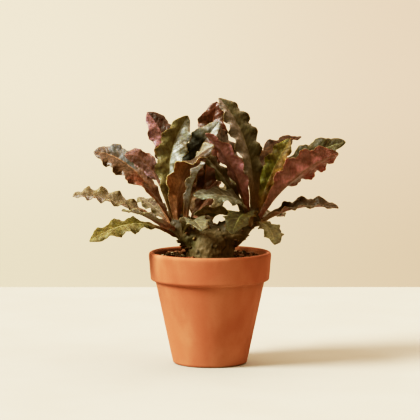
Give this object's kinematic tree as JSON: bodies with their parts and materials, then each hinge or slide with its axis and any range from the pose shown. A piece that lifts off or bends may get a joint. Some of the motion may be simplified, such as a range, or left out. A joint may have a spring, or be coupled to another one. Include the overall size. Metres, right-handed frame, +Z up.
{
  "type": "potted aeonium",
  "caption": "Succulent with a fat forked stem and long wavy-edged bronze and green leaves, in a plain tapered terracotta pot.",
  "frame": {"origin": "on the pot's axis, at the plane that the pot stands on", "axes": "+Z up along the pot's axis; +X to the right, along the line between the two front heads of leaves; -Y is the front, as in the picture"},
  "size_m": [0.268, 0.167, 0.2606],
  "materials": {
    "terracotta": "unglazed fired clay, smooth and dull, a little paler where it is worn",
    "potting_mix": "loose dark potting mix with bark and pale grit",
    "stem_bark": "dull brown-green succulent bark with old leaf scars",
    "leaf_olive": "living leaf, olive green, half glossy, with a pale rib",
    "leaf_bronze": "living leaf, bronze brown, half glossy, with a pale pink rib",
    "leaf_maroon": "living leaf, dark maroon, half glossy",
    "leaf_red": "living leaf, dusky red underside, dull",
    "leaf_sage": "living leaf, grey green with a silvery sheen",
    "leaf_yellow": "living leaf, ageing to yellow green, half glossy"
  },
  "bodies": {
    "root": {"leaf_back_left": "leaf_bronze", "leaf_back_low": "leaf_bronze", "leaf_back_right": "leaf_olive", "leaf_back_tall": "leaf_maroon", "leaf_left_back_low": "leaf_sage", "leaf_left_back_tall": "leaf_maroon", "leaf_left_far_high": "leaf_bronze", "leaf_left_front_brown": "leaf_bronze", "leaf_left_front_low": "leaf_sage", "leaf_left_front_narrow": "leaf_sage", "leaf_left_inner_dark": "leaf_olive", "leaf_left_inner_low": "leaf_maroon", "leaf_left_low_outer": "leaf_bronze", "leaf_left_red": "leaf_red", "leaf_left_under": "leaf_sage", "leaf_left_upright": "leaf_olive", "leaf_left_yellowing": "leaf_yellow", "leaf_right_back_low": "leaf_red", "leaf_right_back_mid": "leaf_bronze", "leaf_right_back_tall": "leaf_maroon", "leaf_right_broad_green": "leaf_olive", "leaf_right_broad_red": "leaf_red", "leaf_right_front_drooping": "leaf_olive", "leaf_right_front_low": "leaf_olive", "leaf_right_front_pink": "leaf_red", "leaf_right_front_sage": "leaf_sage", "leaf_right_inner_green": "leaf_olive", "leaf_right_inner_low": "leaf_olive", "leaf_right_inner_maroon": "leaf_maroon", "leaf_right_low_outer": "leaf_bronze", "leaf_right_olive": "leaf_yellow", "leaf_right_tallest": "leaf_olive", "pot": "terracotta", "soil": "potting_mix", "stem": "stem_bark"}
  },
  "joints": []
}
